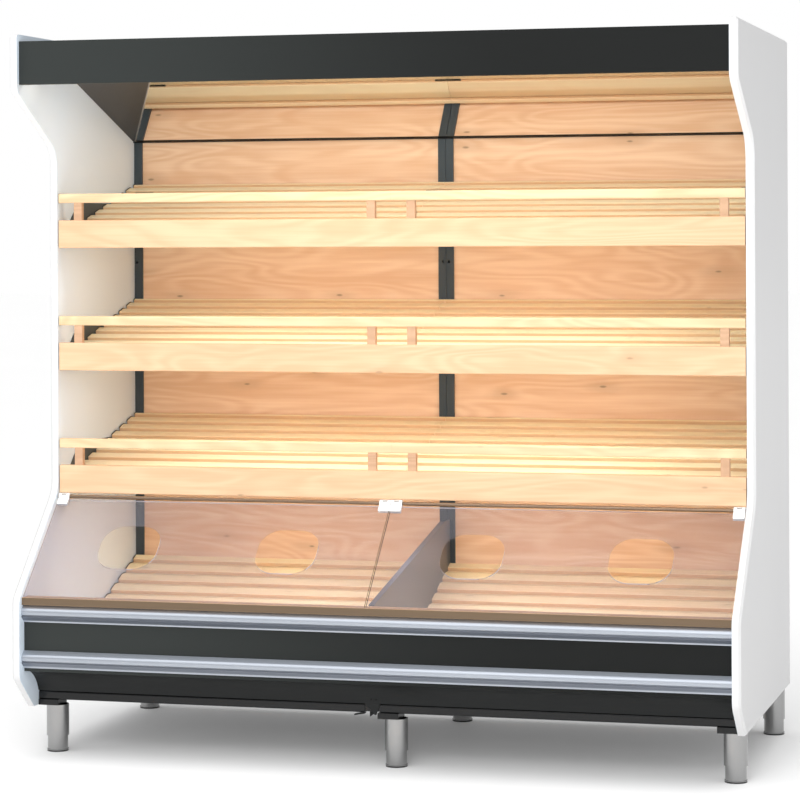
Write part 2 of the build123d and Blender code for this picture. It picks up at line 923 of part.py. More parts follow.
def build_shelves():
    """All nodes of the three shelves."""
    slat_spans = module_spans(slat_end_gap, seam_gap)
    board_spans = module_spans(board_end_gap, seam_gap)
    brackets = []
    posts = []
    for number in range(shelf_count):
        label = f"shelf_{number + 1}"
        for side, span in slat_spans.items():
            save(f"{label}_slats_{side}", shelf_slat_row(number, span))
        save(f"{label}_front_boards", [front_board(number, s) for s in board_spans.values()])
        save(f"{label}_guard_rails", [guard_rail(number, s) for s in board_spans.values()])
        for span in board_spans.values():
            posts.extend(guard_posts(number, span))
        brackets.extend(shelf_brackets(number))
    save("guard_posts", posts)
    save("shelf_brackets", brackets)


def build_base():
    """All nodes of the base frame, the legs and the front of the base."""
    outer_end = inner_half - beam_end_gap
    save("front_beam_left", [beam(-outer_end, joint_left_x, beam_front_y)])
    save("front_beam_right", [beam(joint_right_x, outer_end, beam_front_y)])
    save("rear_beam", [beam(-inner_half, inner_half, upright_y)])
    save("beam_coupler", [beam_coupler()])
    save("joint_plate", joint_plate())
    save("base_crossbars", base_crossbars())
    places = leg_places()
    save("leg_plates", [leg_plate(x, y) for x, y in places.values()])
    save("leg_tubes", [leg_tube(x, y) for x, y in places.values()])
    for name, (x, y) in places.items():
        save(f"foot_{name}", screw_foot(x, y))
    save("kick_panel", [kick_panel()])
    save("bumper_upper", [bumper(upper_bumper_z)])
    save("bumper_lower", [bumper(lower_bumper_z)])
    save("cove_panel", [cove_panel(-inner_half, inner_half)])
    save("base_tray", [base_tray()])
    save("front_ledge", [front_ledge()])


def build_bin():
    """All nodes of the bin and its panes."""
    for side, span in module_spans(slat_end_gap, divider_thickness + seam_gap, divider_x).items():
        save(f"bin_slats_{side}", slat_row(bin_back_point(), bin_angle, bin_rhythm(), *span))
    save("deck_bearers", deck_bearers())
    save("bin_front_board", [bin_front_board()])
    save("bin_divider", [bin_divider()])
    save("hinge_bar", [hinge_bar()])
    for side, span in module_spans(pane_side_gap, pane_seam_gap).items():
        sign = 1 if side == "right" else -1
        save(f"pane_{side}", [pane(span)])
        save(f"clips_{side}", [clip(x) for x in clip_starts(sign)])


def build_body():
    """All nodes of the side panels, the back and the canopy."""
    for side, sign in (("left", -1), ("right", 1)):
        save(f"side_panel_{side}", [side_panel(sign)])
        save(f"back_board_{side}", [back_board(sign)])
    side_inner = inner_half - side_upright_width
    side_hole_x = inner_half - pin_hole_inset
    save("upright_left", [upright(-inner_half, -side_inner, -side_hole_x)])
    save("upright_right", [upright(side_inner, inner_half, side_hole_x)])
    save("uprights_middle", middle_uprights())
    save("rear_cover", [rear_cover()])
    save("canopy_fascia", [canopy_fascia()])
    save("canopy_top", [canopy_top()])
    save("ceiling_mirror", [ceiling_mirror()])
    save("mirror_rail", [mirror_rail()])
    save("mirror_trim", [mirror_trim()])
    save("lamp_housing", [lamp_housing()])
    save("lamp_diffuser", [lamp_diffuser()])


os.makedirs("parts", exist_ok=True)
build_body()
build_base()
build_bin()
build_shelves()
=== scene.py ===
import math

import bpy
from mathutils import Matrix, Vector


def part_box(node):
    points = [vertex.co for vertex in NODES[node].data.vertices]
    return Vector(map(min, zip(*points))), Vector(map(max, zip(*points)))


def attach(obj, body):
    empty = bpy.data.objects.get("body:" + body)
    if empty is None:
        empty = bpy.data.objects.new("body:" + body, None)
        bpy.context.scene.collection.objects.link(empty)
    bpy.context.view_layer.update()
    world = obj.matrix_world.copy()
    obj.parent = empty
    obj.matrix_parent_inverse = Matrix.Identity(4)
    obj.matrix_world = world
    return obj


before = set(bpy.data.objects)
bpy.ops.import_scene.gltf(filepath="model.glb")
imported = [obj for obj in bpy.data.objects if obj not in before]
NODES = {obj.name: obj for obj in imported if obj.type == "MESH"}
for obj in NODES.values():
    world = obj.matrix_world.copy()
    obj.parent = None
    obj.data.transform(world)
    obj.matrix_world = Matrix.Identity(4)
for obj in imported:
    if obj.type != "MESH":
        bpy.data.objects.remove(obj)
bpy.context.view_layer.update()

# Sizes and places that several pieces share, in metres and degrees
INNER_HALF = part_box("side_panel_right")[0][0]
REAR_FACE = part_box("rear_cover")[1][1]
SHELVES = (1, 2, 3)
SHELF_SPACING = 0.332
SHELF_SLOPE = 14.7
BIN_SLOPE = 20.6
SHELF_SLAT_PITCH = 0.063
BIN_SLAT_PITCH = 0.064
SCREW_HEAD = 0.003

# A deck's slats are counted from this place, measured up its slope from the unit's origin
FIRST_SHELF_SLAT = 0.25485
FIRST_BIN_SLAT = -0.07775
SHELF_SLAT_DROP = SHELF_SPACING * math.sin(math.radians(SHELF_SLOPE))

# The mirror's left end holds a painted dark reflection forward of this line, by this share of the distance
# from it
MIRROR_BACK_Y = 0.409
EDGE_SHADE_REACH = 0.475

# Tones that two finishes share, and strengths set against the photograph
BOARD_TONES = (0.88, 0.61, 0.39), (0.76, 0.47, 0.28)
SLAT_TONES = (1.0, 0.88, 0.60), (0.95, 0.73, 0.47)
GREY_TONE = (0.45, 0.46, 0.47)
PANE_BODY = 0.025
LAMP_GLOW = 4.0
ROOM_LIGHT = 0.40
BACKDROP_WHITE = 1.0


def feed(tree, socket, value):
    """Links a value into a socket, or sets the socket to a plain number or colour."""
    if isinstance(value, Value):
        tree.links.new(value.socket, socket)
    else:
        socket.default_value = value


class Value:
    """A shader socket that can be used in plain arithmetic."""

    def __init__(self, tree, socket):
        self.tree = tree
        self.socket = socket

    def math(self, operation, *values):
        maths = self.tree.nodes.new("ShaderNodeMath")
        maths.operation = operation
        for socket, value in zip(maths.inputs, values):
            feed(self.tree, socket, value)
        return Value(self.tree, maths.outputs[0])

    def __add__(self, other):
        return self.math("ADD", self, other)

    def __sub__(self, other):
        return self.math("SUBTRACT", self, other)

    def __rsub__(self, other):
        return self.math("SUBTRACT", other, self)

    def __mul__(self, other):
        return self.math("MULTIPLY", self, other)

    def __truediv__(self, other):
        return self.math("DIVIDE", self, other)

    __radd__ = __add__
    __rmul__ = __mul__

    def absolute(self):
        return self.math("ABSOLUTE", self)

    def floor(self):
        return self.math("FLOOR", self)

    def sine(self):
        return self.math("SINE", self)

    def least(self, other):
        return self.math("MINIMUM", self, other)


class Finish:
    """One material: its main shader, and the nodes that feed it."""

    def __init__(self, name):
        self.material = bpy.data.materials.new(name)
        self.material.use_nodes = True
        self.tree = self.material.node_tree
        self.shader = self.tree.nodes["Principled BSDF"]

    def node(self, kind, settings=(), sockets=(), out=0):
        """Adds a node: its settings first, then its sockets' values or links."""
        made = self.tree.nodes.new(kind)
        for name, value in dict(settings).items():
            setattr(made, name, value)
        for name, value in dict(sockets).items():
            feed(self.tree, made.inputs[name], value)
        return Value(self.tree, made.outputs[out])

    def point(self):
        """The point on the object."""
        return self.node("ShaderNodeTexCoord", out="Object")

    def stretched(self, where, scale):
        """A point scaled by x, y and z, so that a pattern there is drawn out or packed."""
        return self.node("ShaderNodeMapping", {}, {"Vector": where, "Scale": scale})

    def split(self, where):
        """A point's x, y and z."""
        return [self.node("ShaderNodeSeparateXYZ", {}, {0: where}, out=i) for i in range(3)]

    def noise(self, where, scale, detail=2.0, roughness=0.5, distortion=0.0):
        """Soft cloudy noise from 0 to 1."""
        sockets = {"Vector": where, "Scale": scale, "Detail": detail}
        sockets.update({"Roughness": roughness, "Distortion": distortion})
        return self.node("ShaderNodeTexNoise", {}, sockets)

    def step(self, value, low, high):
        """0 at low and 1 at high, with a smooth rise between; low may be above high."""
        sockets = {"Value": value, "From Min": low, "From Max": high}
        return self.node("ShaderNodeMapRange", {"interpolation_type": "SMOOTHSTEP"}, sockets)

    def mix(self, amount, first, second):
        """The first colour at 0 and the second at 1."""
        first = first if isinstance(first, Value) else (*first, 1.0)
        second = second if isinstance(second, Value) else (*second, 1.0)
        settings = {"data_type": "RGBA", "clamp_factor": True}
        return self.node("ShaderNodeMix", settings, {0: amount, 6: first, 7: second}, out=2)

    def bump(self, height, strength, distance):
        """Fine relief in the surface."""
        sockets = {"Height": height, "Strength": strength, "Distance": distance}
        self.feed("Normal", self.node("ShaderNodeBump", {}, sockets))

    def feed(self, socket, value):
        """Feeds one of the main shader's sockets."""
        if isinstance(value, tuple):
            value = (*value, 1.0)
        feed(self.tree, self.shader.inputs[socket], value)


def scaled(colour, factor):
    """A colour made darker or lighter, up to full white."""
    return tuple(min(1.0, channel * factor) for channel in colour)


# Finishes


def knots(finish, where, colour, dark, strength):
    """Small brown knots with a soft ring of darker wood around each."""
    x, y, z = finish.split(where)
    flat = finish.node("ShaderNodeCombineXYZ", {}, {0: x * 2.4, 1: (y + z) * 7.0})
    wobble = finish.noise(flat, 7.0, 2.0)
    settings = {"voronoi_dimensions": "2D"}
    near = finish.node("ShaderNodeTexVoronoi", settings, {"Vector": flat, "Scale": 1.0})
    knot = finish.step(near + wobble * 0.03, 0.045, 0.02)
    halo = finish.step(near + wobble * 0.1, 0.24, 0.06)
    colour = finish.mix(halo * strength * 0.45, colour, scaled(dark, 0.72))
    return finish.mix(knot * strength, colour, scaled(dark, 0.42))


def slat_lines(finish, part, colour, dark):
    """Painted shade: a faint darkening in the hollow over each slat's upper edge, and an orange-brown line
    where two slats meet.
    """
    hollow = finish.step(part, 0.62, 0.95) * 0.08
    line = finish.step(part, 0.024, 0.008) + finish.step(part, 0.976, 0.992)
    colour = finish.mix(hollow, colour, scaled(dark, 0.66))
    return finish.mix(line * 0.6, colour, (0.58, 0.27, 0.11))


def slat_places(finish, x, y, z, slope, pitch, first):
    """A number that each slat of a sloping deck has to itself, and how far up its slat a point lies."""
    turn = math.radians(slope)
    along = y * math.cos(turn) + z * math.sin(turn)
    turns = (along - first) / pitch
    slat = turns.floor()
    module = finish.step(x, -0.001, 0.001)
    return slat * 3.7 + module * 11.3, turns - slat


def wood(name, light, dark, deck=None, seed=0.0, knot=0.6, shaded_front_from=None):
    """Oiled birch with its grain along X. A deck is its slope, slat pitch and first slat's place.

    Each slat of a deck has its own tone. The front face, from the given place in Y on, is darkened to dark
    brown as painted shade.
    """
    finish = Finish(name)
    x, y, z = finish.split(finish.point())
    shift = seed
    tone = 0.5
    if deck:
        slat, part = slat_places(finish, x, y, z, *deck)
        shift = slat + seed
        tone = finish.node("ShaderNodeTexWhiteNoise", {"noise_dimensions": "1D"}, {"W": shift})
    where = finish.node("ShaderNodeCombineXYZ", {}, {0: x + shift, 1: y, 2: z})
    swell = finish.noise(finish.stretched(where, (1.3, 7.0, 7.0)), 1.0, 2.0, 0.45, 0.5)
    rings = (swell * 95.0).sine() * 0.5 + 0.5
    fine = finish.noise(finish.stretched(where, (4.0, 130.0, 130.0)), 1.0, 3.0, 0.65)
    streak = finish.noise(finish.stretched(where, (1.1, 26.0, 26.0)), 1.0, 3.0, 0.5)
    grain = rings * (0.06 if deck else 0.2) + fine * 0.5 + streak * 0.66 + tone * 0.24 - 0.12
    colour = finish.mix(finish.step(grain, 0.28, 0.98), light, dark)
    colour = knots(finish, where, colour, dark, knot)
    if deck:
        # Painted shade in each slat's hollow and where two slats meet
        colour = slat_lines(finish, part, colour, dark)
    # Painted shade: the front face is darkened to dark brown
    if shaded_front_from:
        front = finish.step(y, shaded_front_from + 0.0006, shaded_front_from + 0.0002)
        front_shade_tone = finish.mix(streak, (0.11, 0.075, 0.045), (0.19, 0.13, 0.08))
        colour = finish.mix(front, colour, front_shade_tone)
    finish.feed("Base Color", colour)
    finish.feed("Roughness", 0.46 + fine * 0.16)
    finish.feed("Specular IOR Level", 0.3)
    finish.bump(fine * 0.6 + rings * 0.2, 0.12, 0.0006)
    return finish.material


def painted_sheet(name, colour, roughness, gloss=0.5, painted_light_left=0.0):
    """Powder-coated sheet steel with a fine skin and rubbed patches, made paler to the left by painted
    light of the given strength.
    """
    finish = Finish(name)
    point = finish.point()
    skin = finish.noise(point, 900.0, 2.0, 0.6)
    cloud = finish.noise(point, 3.2, 3.0, 0.55)
    rub = finish.noise(finish.stretched(point, (4.0, 30.0, 30.0)), 1.0, 3.0, 0.6)
    coat = finish.mix(cloud * 0.7 + skin * 0.3, scaled(colour, 0.84), scaled(colour, 1.14))
    # Painted light: the sheet grows paler towards the left
    if painted_light_left:
        x = finish.split(point)[0]
        coat = finish.mix(finish.step(x, 0.5, -1.0), coat, scaled(colour, 1.0 + painted_light_left))
    finish.feed("Base Color", coat)
    finish.feed("Roughness", roughness - 0.06 + cloud * 0.07 + rub * 0.07)
    finish.feed("Specular IOR Level", gloss)
    finish.bump(skin, 0.05, 0.0002)
    return finish.material


def white_panel():
    """Satin white moulded panel with faint mottling, painted shade towards the bottom, a darker band near
    its lower edges, and inner faces painted lighter and cooler.
    """
    finish = Finish("white_panel")
    point = finish.point()
    x, y, z = finish.split(point)
    cloud = finish.noise(point, 2.4, 3.0, 0.5)
    skin = finish.noise(point, 700.0, 2.0, 0.6)
    # Darker near the lower edges
    low_edge_dark = finish.step(z + cloud * 0.08, 0.24, 0.14) * 0.35
    inner = finish.step(x.absolute(), INNER_HALF + 0.0006, INNER_HALF + 0.0001)
    base = finish.mix(cloud, (0.76, 0.76, 0.765), (0.80, 0.80, 0.805))
    # Painted shade: darker towards the bottom
    base = finish.mix(finish.step(z, 1.5, 0.4), base, (0.69, 0.69, 0.695))
    # Painted light: the inner faces are lighter and cooler, against the warm light bounced from the wood
    base = finish.mix(inner, base, (0.80, 0.90, 1.0))
    finish.feed("Base Color", finish.mix(low_edge_dark, base, (0.70, 0.70, 0.70)))
    finish.feed("Roughness", 0.36 + cloud * 0.08 + skin * 0.04)
    finish.bump(skin, 0.03, 0.0002)
    return finish.material


def scratches(finish, along):
    """Fine scratches that run along one axis, and broader streaks between them."""
    point = finish.point()
    fine = [6.0 if axis == along else 900.0 for axis in "xyz"]
    broad = [1.5 if axis == along else 60.0 for axis in "xyz"]
    scratch = finish.noise(finish.stretched(point, fine), 1.0, 3.0, 0.65)
    return scratch, finish.noise(finish.stretched(point, broad), 1.0, 2.0, 0.5)


def bumper_aluminium():
    """Anodised aluminium, drawn lengthways. The groove over its lower lip is shaded partly by its shape
    and partly by painted shade.
    """
    finish = Finish("bumper_aluminium")
    z = finish.split(finish.point())[2]
    scratch, streak = scratches(finish, "x")
    lower_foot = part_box("bumper_lower")[0][2]
    upper_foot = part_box("bumper_upper")[0][2]
    low = z - finish.step(z, 0.31, 0.33) * (upper_foot - lower_foot) - lower_foot
    # Painted shade in the groove over the lower lip
    groove_shade = finish.step(low, 0.004, 0.007) * finish.step(low, 0.020, 0.016)
    coat = finish.mix(scratch * 0.3 + streak * 0.2, (0.41, 0.44, 0.49), (0.48, 0.52, 0.58))
    finish.feed("Base Color", finish.mix(groove_shade * 0.75, coat, (0.13, 0.145, 0.18)))
    finish.feed("Metallic", 0.75)
    finish.feed("Roughness", 0.36 + scratch * 0.04)
    finish.bump(scratch, 0.006, 0.0001)
    return finish.material


def stainless_steel(name, along, colour, roughness):
    """Ground stainless steel, its marks running along one axis. What lies lowest is a foot's black pad."""
    finish = Finish(name)
    z = finish.split(finish.point())[2]
    scratch, streak = scratches(finish, along)
    pad = finish.step(z, 0.0045, 0.0035)
    coat = finish.mix(scratch * 0.6 + streak * 0.4, scaled(colour, 0.8), colour)
    finish.feed("Base Color", finish.mix(pad, coat, (0.01, 0.01, 0.01)))
    finish.feed("Metallic", 1.0 - pad)
    finish.feed("Roughness", roughness - 0.04 + scratch * 0.1)
    finish.bump(scratch, 0.06, 0.0002)
    return finish.material


def ceiling_mirror():
    """Mirror glass, with a wedge of painted dark brown reflection at its left end, darker lower down."""
    finish = Finish("mirror_glass")
    point = finish.point()
    x, y, z = finish.split(point)
    # Painted reflection: a dark brown wedge at the left end, widening forward and darker lower down
    reach = (MIRROR_BACK_Y - y) * EDGE_SHADE_REACH
    shade = finish.step(x + INNER_HALF - reach, 0.004, -0.004)
    cloud = finish.noise(point, 5.0, 3.0, 0.5)
    glass = finish.mix(cloud, (0.90, 0.88, 0.86), (0.95, 0.93, 0.91))
    brown = finish.mix(finish.step(z, 1.66, 1.86), (0.016, 0.015, 0.014), (0.05, 0.042, 0.037))
    finish.feed("Base Color", finish.mix(shade, glass, brown))
    finish.feed("Metallic", 1.0 - shade)
    finish.feed("Roughness", 0.02 + cloud * 0.015 + shade * 0.4)
    return finish.material


def clear_pane():
    """Clear plastic pane with a faint grey tint: what shines on it lies over what is seen through it."""
    finish = Finish("clear_pane")
    tree = finish.tree
    point = finish.point()
    haze = finish.noise(point, 4.0, 3.0, 0.5)
    wipe = finish.noise(finish.stretched(point, (40.0, 3.0, 3.0)), 1.0, 3.0, 0.6)
    x = finish.split(point)[0]
    seam = finish.step(x.absolute(), 0.0023, 0.0018)
    clear = finish.mix(haze, (0.74, 0.76, 0.84), (0.80, 0.82, 0.90))
    finish.feed("Base Color", finish.mix(seam, clear, (0.10, 0.06, 0.045)))
    finish.feed("Roughness", 0.04 + wipe * 0.04)
    finish.feed("Specular IOR Level", 0.7)
    tint = finish.node("ShaderNodeBsdfTransparent", {}, {"Color": (0.89, 0.88, 0.91, 1.0)})
    fresnel = finish.node("ShaderNodeFresnel", {}, {"IOR": 1.3})
    both = tree.nodes.new("ShaderNodeMixShader")
    feed(tree, both.inputs[0], (fresnel * 0.6 + PANE_BODY + seam).least(1.0))
    tree.links.new(tint.socket, both.inputs[1])
    tree.links.new(finish.shader.outputs[0], both.inputs[2])
    tree.links.new(both.outputs[0], tree.nodes["Material Output"].inputs["Surface"])
    return finish.material


def white_clip():
    """Glossy white moulded plastic."""
    finish = Finish("white_clip")
    point = finish.point()
    cloud = finish.noise(point, 60.0, 3.0, 0.5)
    skin = finish.noise(point, 1400.0, 2.0, 0.6)
    finish.feed("Base Color", finish.mix(cloud, (0.90, 0.90, 0.90), (0.96, 0.96, 0.955)))
    finish.feed("Roughness", 0.16 + cloud * 0.08)
    finish.feed("Coat Weight", 0.4)
    finish.bump(skin, 0.03, 0.0001)
    return finish.material


def lamp_cover():
    """Milky cover that glows warm white, a little weaker towards its ends."""
    finish = Finish("lamp_cover")
    point = finish.point()
    x = finish.split(point)[0]
    cloud = finish.noise(point, 20.0, 2.0)
    ends = finish.step(x.absolute(), 0.9, 0.8)
    finish.feed("Base Color", finish.mix(cloud, (0.85, 0.82, 0.74), (0.95, 0.92, 0.84)))
    finish.feed("Roughness", 0.5 + cloud * 0.1)
    glow = finish.mix(ends, (0.8, 0.7, 0.55), (1.0, 0.93, 0.8))
    finish.feed("Emission Color", glow)
    finish.feed("Emission Strength", LAMP_GLOW)
    return finish.material


def dress(material, *names):
    """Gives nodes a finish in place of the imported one."""
    for name in names:
        for slot in NODES[name].material_slots:
            slot.material = material


def dress_wood():
    """The wooden nodes: each look is its light tone, its dark tone and how strong its knots are."""
    dress(wood("back_wood", (0.93, 0.68, 0.48), (0.78, 0.49, 0.30), knot=0.8),
          "back_board_left", "back_board_right")
    for shelf in SHELVES:
        first = FIRST_SHELF_SLAT - SHELF_SLAT_DROP * (shelf - 1)
        deck = (SHELF_SLOPE, SHELF_SLAT_PITCH, first)
        look = wood(f"slat_wood_{shelf}", *SLAT_TONES, deck, seed=5.0 * (shelf - 1), knot=0.35)
        dress(look, f"shelf_{shelf}_slats_left", f"shelf_{shelf}_slats_right")
    deck = (BIN_SLOPE, BIN_SLAT_PITCH, FIRST_BIN_SLAT)
    dress(wood("bin_slat_wood", *SLAT_TONES, deck, seed=31.0, knot=0.4),
          "bin_slats_left", "bin_slats_right")
    dress(wood("board_wood", *BOARD_TONES, seed=17.0, knot=0.5),
          *[f"shelf_{shelf}_front_boards" for shelf in SHELVES])
    dress(wood("rail_wood", (0.92, 0.72, 0.46), (0.78, 0.53, 0.31), seed=11.0, knot=0.2),
          *[f"shelf_{shelf}_guard_rails" for shelf in SHELVES])
    dress(wood("post_wood", (0.68, 0.44, 0.28), (0.56, 0.34, 0.21), seed=23.0, knot=0.0),
          "guard_posts")
    # The ledge's front face carries painted shade
    dress(wood("ledge_wood", (0.62, 0.43, 0.28), (0.44, 0.28, 0.17), seed=41.0, knot=0.2,
               shaded_front_from=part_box("front_ledge")[0][1]), "front_ledge")
    dress(wood("bin_wood", (0.86, 0.62, 0.40), (0.70, 0.46, 0.27), seed=47.0),
          "bin_front_board", "deck_bearers")


def dress_sheets():
    """The white panels, and the painted sheet steel with its colour, roughness and gloss."""
    dress(white_panel(), "side_panel_left", "side_panel_right")
    # The fascia and kick panel carry painted light, paler towards the left
    dress(painted_sheet("anthracite_front", (0.0065, 0.0075, 0.0072), 0.5, 0.2, 3.6),
          "canopy_fascia", "kick_panel")
    dress(painted_sheet("anthracite_frame", (0.042, 0.058, 0.070), 0.42, 0.4), "upright_left",
          "upright_right", "uprights_middle", "shelf_brackets", "mirror_rail")
    dress(painted_sheet("divider_sheet", (0.125, 0.14, 0.165), 0.3), "bin_divider")
    dress(painted_sheet("roof_sheet", (0.05, 0.055, 0.058), 0.5), "canopy_top")
    dress(painted_sheet("grey_sheet", GREY_TONE, 0.45), "rear_cover")
    dress(painted_sheet("tray_sheet", (0.25, 0.25, 0.25), 0.5), "base_tray")
    dress(painted_sheet("black_base", (0.005, 0.0055, 0.006), 0.22, 0.35), "front_beam_left",
          "front_beam_right", "rear_beam", "base_crossbars", "beam_coupler", "leg_plates")
    dress(painted_sheet("black_trim", (0.004, 0.004, 0.004), 0.5, 0.3), "mirror_trim")
    dress(painted_sheet("cove_sheet", (0.011, 0.012, 0.012), 0.42, 0.25), "cove_panel", "joint_plate")


def dress_fittings():
    """Metal, glass and plastic fittings."""
    dress(bumper_aluminium(), "bumper_lower", "bumper_upper")
    feet = [name for name in NODES if name.startswith("foot_")]
    dress(stainless_steel("leg_steel", "z", (0.38, 0.38, 0.38), 0.14), "leg_tubes", *feet)
    # The bar's brown tint is a painted reflection of the wood around it
    dress(stainless_steel("bar_steel_painted_reflection", "x", (0.28, 0.20, 0.14), 0.25), "hinge_bar")
    dress(ceiling_mirror(), "ceiling_mirror")
    dress(clear_pane(), "pane_left", "pane_right")
    dress(white_clip(), "clips_left", "clips_right")
    dress(painted_sheet("lamp_body", (0.72, 0.72, 0.71), 0.4), "lamp_housing")
    dress(lamp_cover(), "lamp_diffuser")


# Small fittings


def shaping(name):
    """Puts the new primitive's size and place in its mesh, and opens it all selected for editing."""
    piece = bpy.context.object
    piece.name = name
    bpy.ops.object.transform_apply(location=True, rotation=True, scale=True)
    bpy.ops.object.mode_set(mode="EDIT")
    bpy.ops.mesh.select_all(action="SELECT")
    return piece


def block(name, place, size):
    """A block at its place, as the start of a fitting."""
    bpy.ops.object.select_all(action="DESELECT")
    bpy.ops.mesh.primitive_cube_add(size=1.0, location=place, scale=size)
    return shaping(name)


def disc(name, place, radius, height, turn):
    """A short cylinder at its place, as the start of a fitting."""
    bpy.ops.object.select_all(action="DESELECT")
    bpy.ops.mesh.primitive_cylinder_add(vertices=24, radius=radius, depth=height, location=place,
                                        rotation=turn)
    return shaping(name)


def pick_faces(piece, wanted):
    """Selects the faces whose centre and normal meet the test."""
    bpy.ops.mesh.select_all(action="DESELECT")
    bpy.ops.object.mode_set(mode="OBJECT")
    for polygon in piece.data.polygons:
        polygon.select = wanted(polygon.center, polygon.normal)
    bpy.ops.object.mode_set(mode="EDIT")
    bpy.ops.mesh.select_mode(type="FACE")


def extrude(x=0.0, y=0.0, z=0.0):
    """Draws the selected faces out of the piece, or into it."""
    bpy.ops.mesh.extrude_region_move(TRANSFORM_OT_translate={"value": (x, y, z)})


def done(piece, material):
    """Smooths a fitting, gives it its finish and hangs it on the cabinet."""
    bpy.ops.object.mode_set(mode="OBJECT")
    bpy.ops.object.shade_smooth_by_angle(angle=math.radians(35.0))
    piece.data.materials.clear()
    piece.data.materials.append(material)
    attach(piece, "cabinet")


def joined(name, pieces):
    """Makes several blanks into one piece."""
    bpy.ops.object.select_all(action="DESELECT")
    for piece in pieces:
        piece.select_set(True)
    bpy.context.view_layer.objects.active = pieces[0]
    bpy.ops.object.join()
    pieces[0].name = name
    return pieces[0]


def screw(place, way, radius):
    """A pan-head screw with a sunk socket, centred on place. Its head looks along way, 1 or -1 in Y."""
    rounding, socket_depth, near = 0.0009, 0.0012, 0.0001
    turn = (math.radians(90.0 * -way), 0.0, 0.0)
    head = disc("screw", place, radius, SCREW_HEAD, turn)
    outer = place[1] * way + SCREW_HEAD / 2.0 - near
    pick_faces(head, lambda centre, normal: centre[1] * way > outer)
    bpy.ops.mesh.bevel(offset=rounding, segments=3, affect="EDGES")
    pick_faces(head, lambda centre, normal: normal[1] * way > 0.99 and centre[1] * way > outer)
    bpy.ops.mesh.inset(thickness=radius * 0.3)
    extrude(y=-socket_depth * way)
    bpy.ops.object.mode_set(mode="OBJECT")
    return head


def rear_cover_screws(material):
    """Screws down both edges and the middle of the rear cover."""
    radius, sunk = 0.0035, 0.001
    lowest, spacing, rows = 0.20, 0.325, 6
    middle_x, edge_x = 0.01, INNER_HALF - 0.0125
    heads = []
    for x in (-edge_x, -middle_x, middle_x, edge_x):
        for row in range(rows):
            place = (x, REAR_FACE + SCREW_HEAD / 2.0 - sunk, lowest + row * spacing)
            heads.append(screw(place, 1.0, radius))
    done(joined("rear_cover_screws", heads), material)


def joint_screws(material):
    """Two small screws in the hollow panel over the front beams' joint."""
    radius, height, proud = 0.003, 0.174, 0.0005
    in_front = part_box("side_panel_left")[0][1]
    heads = []
    for x in (-0.0156, -0.0022):
        spot = NODES["cove_panel"].ray_cast((x, in_front, height), (0.0, 1.0, 0.0))[1]
        heads.append(screw((x, spot.y - proud, height), -1.0, radius))
    done(joined("joint_screws", heads), material)


def rear_cover_strip(material):
    """The folded strip over the rear cover's middle joint."""
    width, thickness, length, middle_z = 0.012, 0.0012, 1.70, 1.02
    fold, raised = 0.0015, 0.0008
    place = (0.0, REAR_FACE + thickness / 2.0, middle_z)
    strip = block("rear_cover_strip", place, (width, thickness, length))
    pick_faces(strip, lambda centre, normal: normal[1] > 0.9)
    bpy.ops.mesh.inset(thickness=fold)
    extrude(y=raised)
    done(strip, material)


def lamp_end_caps(material):
    """Moulded caps at the lamp's two ends, with a sunk field."""
    thickness, overlap, rim, sunk = 0.007, 0.002, 0.006, 0.002
    low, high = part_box("lamp_diffuser")[0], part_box("lamp_housing")[1]
    middle = [(a + b) / 2.0 for a, b in zip(low, high)]
    size = (thickness, high[1] - low[1] + 2.0 * overlap, high[2] - low[2])
    caps = []
    for side in (-1.0, 1.0):
        place = (side * (high[0] + thickness / 2.0), middle[1], middle[2])
        cap = block("lamp_end_cap", place, size)
        pick_faces(cap, lambda centre, normal: normal[0] * side > 0.9)
        bpy.ops.mesh.inset(thickness=rim)
        extrude(x=-side * sunk)
        bpy.ops.mesh.select_all(action="SELECT")
        bpy.ops.mesh.bevel(offset=0.0008, segments=2, affect="EDGES")
        bpy.ops.object.mode_set(mode="OBJECT")
        caps.append(cap)
    done(joined("lamp_end_caps", caps), material)


def deck_hooks(material):
    """Black hooks that hold the top deck's back slats down on the uprights."""
    middle_y, middle_z, depth, height = 0.329, 1.4925, 0.010, 0.008
    end_x, end_width, middle_width = 0.878, 0.055, 0.075
    rim, sunk = 0.0015, 0.0008
    hooks = []
    for x, width in ((-end_x, end_width), (0.0, middle_width), (end_x, end_width)):
        hook = block("deck_hook", (x, middle_y, middle_z), (width, depth, height))
        bpy.ops.mesh.bevel(offset=0.0012, segments=2, affect="EDGES")
        pick_faces(hook, lambda centre, normal: normal[2] > 0.95)
        bpy.ops.mesh.inset(thickness=rim)
        extrude(z=-sunk)
        bpy.ops.object.mode_set(mode="OBJECT")
        hooks.append(hook)
    done(joined("deck_hooks", hooks), material)


def board_joint_strips(material):
    """Thin wooden feathers that close the joint between the two modules' boards and rails."""
    thickness, shorter, slimmer, forward = 0.0011, 0.002, 0.0012, 0.0003
    strips = []
    for shelf in SHELVES:
        for part in ("front_boards", "guard_rails"):
            low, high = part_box(f"shelf_{shelf}_{part}")
            place = (0.0, (low[1] + high[1]) / 2.0 - forward, (low[2] + high[2]) / 2.0)
            size = (thickness, high[1] - low[1] - slimmer, high[2] - low[2] - shorter)
            strip = block("joint_strip", place, size)
            bpy.ops.mesh.bevel(offset=0.0002, segments=1, affect="EDGES")
            bpy.ops.object.mode_set(mode="OBJECT")
            strips.append(strip)
    done(joined("board_joint_strips", strips), material)


